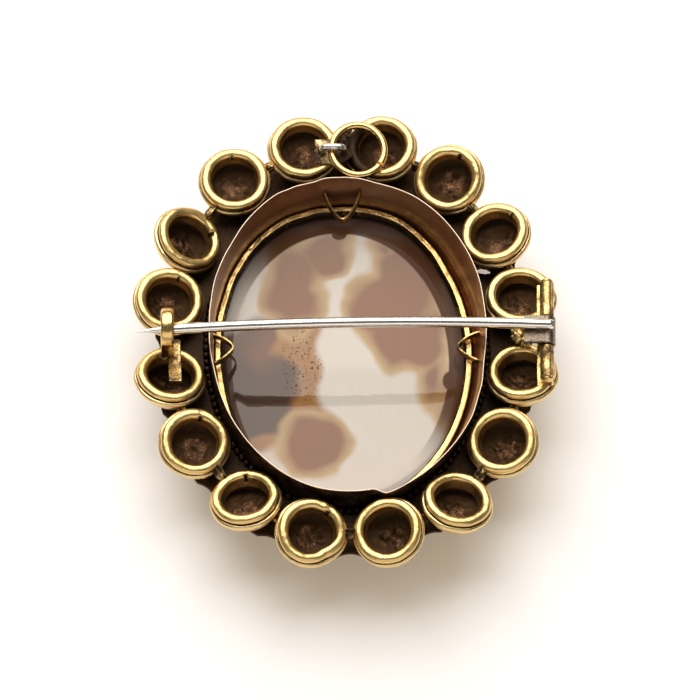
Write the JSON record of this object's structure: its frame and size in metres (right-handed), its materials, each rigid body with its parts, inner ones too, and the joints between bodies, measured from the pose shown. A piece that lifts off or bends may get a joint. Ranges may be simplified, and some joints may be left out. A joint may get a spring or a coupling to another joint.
{
  "type": "cameo brooch",
  "caption": "Oval cameo brooch with hollow bosses round an open-backed bezel, a hinged pin stem, a C catch and a small swinging bail ring.",
  "frame": {"origin": "centre of the bezel rim's oval, at the height of the flat front edge that the brooch lies on", "axes": "+Z out of the back towards the pin stem, +X along the stem from its point to the hinge, +Y along the stone towards the bail"},
  "size_m": [0.0425, 0.0494, 0.0135],
  "materials": {
    "gold": "soft polish, tarnished",
    "stone": "polished",
    "pin_metal": "polished white metal"
  },
  "bodies": {
    "frame": {"mount": "gold", "cameo_stone": "stone", "retaining_ring": "gold", "hinge_rivet": "gold"},
    "pin_stem": {"pin": "pin_metal"},
    "bail": {"bail_ring": "gold"}
  },
  "joints": [
    {"name": "pin_swing", "type": "hinge", "parent": "frame", "child": "pin_stem", "pos_m": [0.01985, 0.00005, 0.01055], "axis": [0, 1, 0], "range_deg": [0, 105]},
    {"name": "bail_swing", "type": "hinge", "parent": "frame", "child": "bail", "pos_m": [-0.00153, 0.02054, 0.00975], "axis": [0, -1, 0], "range_deg": [0, 160]}
  ]
}
